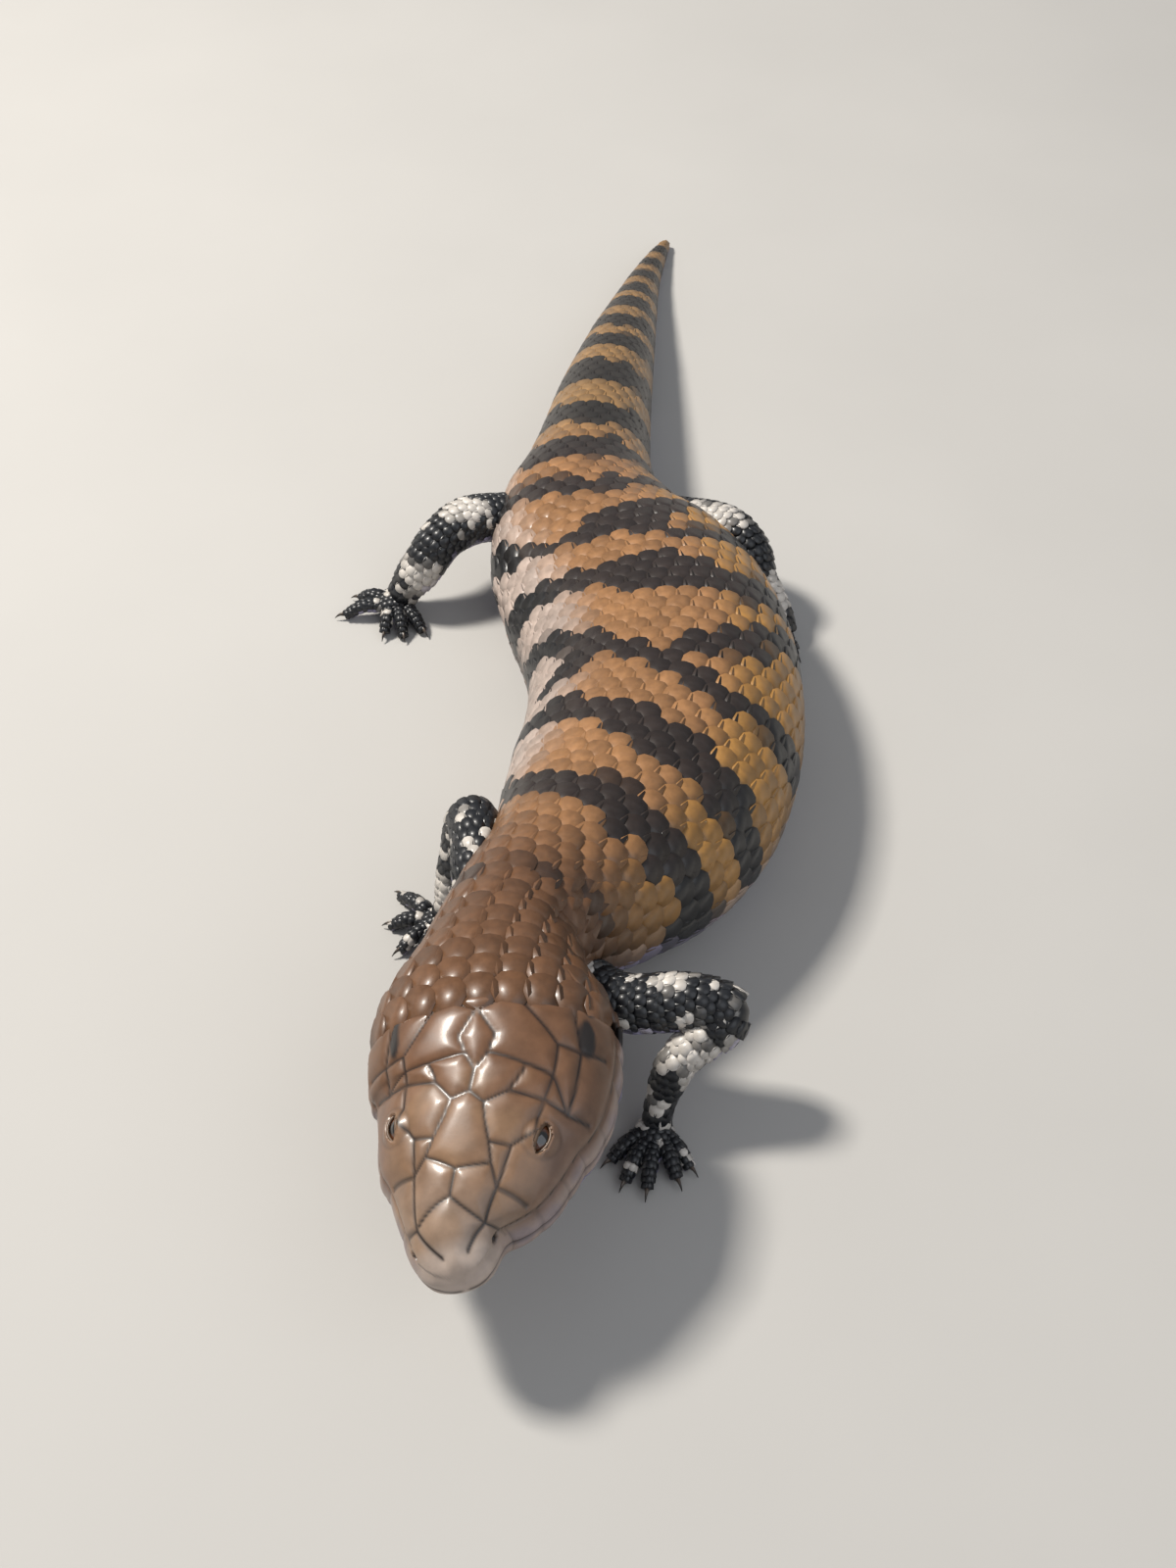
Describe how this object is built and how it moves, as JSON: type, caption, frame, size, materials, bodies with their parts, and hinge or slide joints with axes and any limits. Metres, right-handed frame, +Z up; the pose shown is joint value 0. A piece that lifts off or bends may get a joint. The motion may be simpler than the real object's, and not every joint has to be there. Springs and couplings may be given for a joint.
{
  "type": "blue tongued skink model",
  "caption": "Life-size model of a young blue tongued skink standing still: broad shielded head raised on a narrow neck, long banded body resting on its belly, short legs and a tapering tail.",
  "frame": {"origin": "centre of the bounding box's base, on the floor", "axes": "+Z up, the snout points along -Y and the tail along +Y, the animal's left side is at +X"},
  "size_m": [0.0474, 0.1536, 0.0202],
  "materials": {
    "head_skin": "gloss",
    "body_skin": "satin",
    "leg_skin": "satin",
    "eye": "gloss"
  },
  "bodies": {
    "root": {"head": "head_skin", "neck": "body_skin", "torso_front": "body_skin", "torso_rear": "body_skin", "tail_base": "body_skin", "tail_middle": "body_skin", "tail_tip": "body_skin", "foreleg_left": "leg_skin", "foreleg_right": "leg_skin", "hindleg_right": "leg_skin", "hindleg_left": "leg_skin", "eye_left": "eye", "eye_right": "eye"}
  },
  "joints": []
}
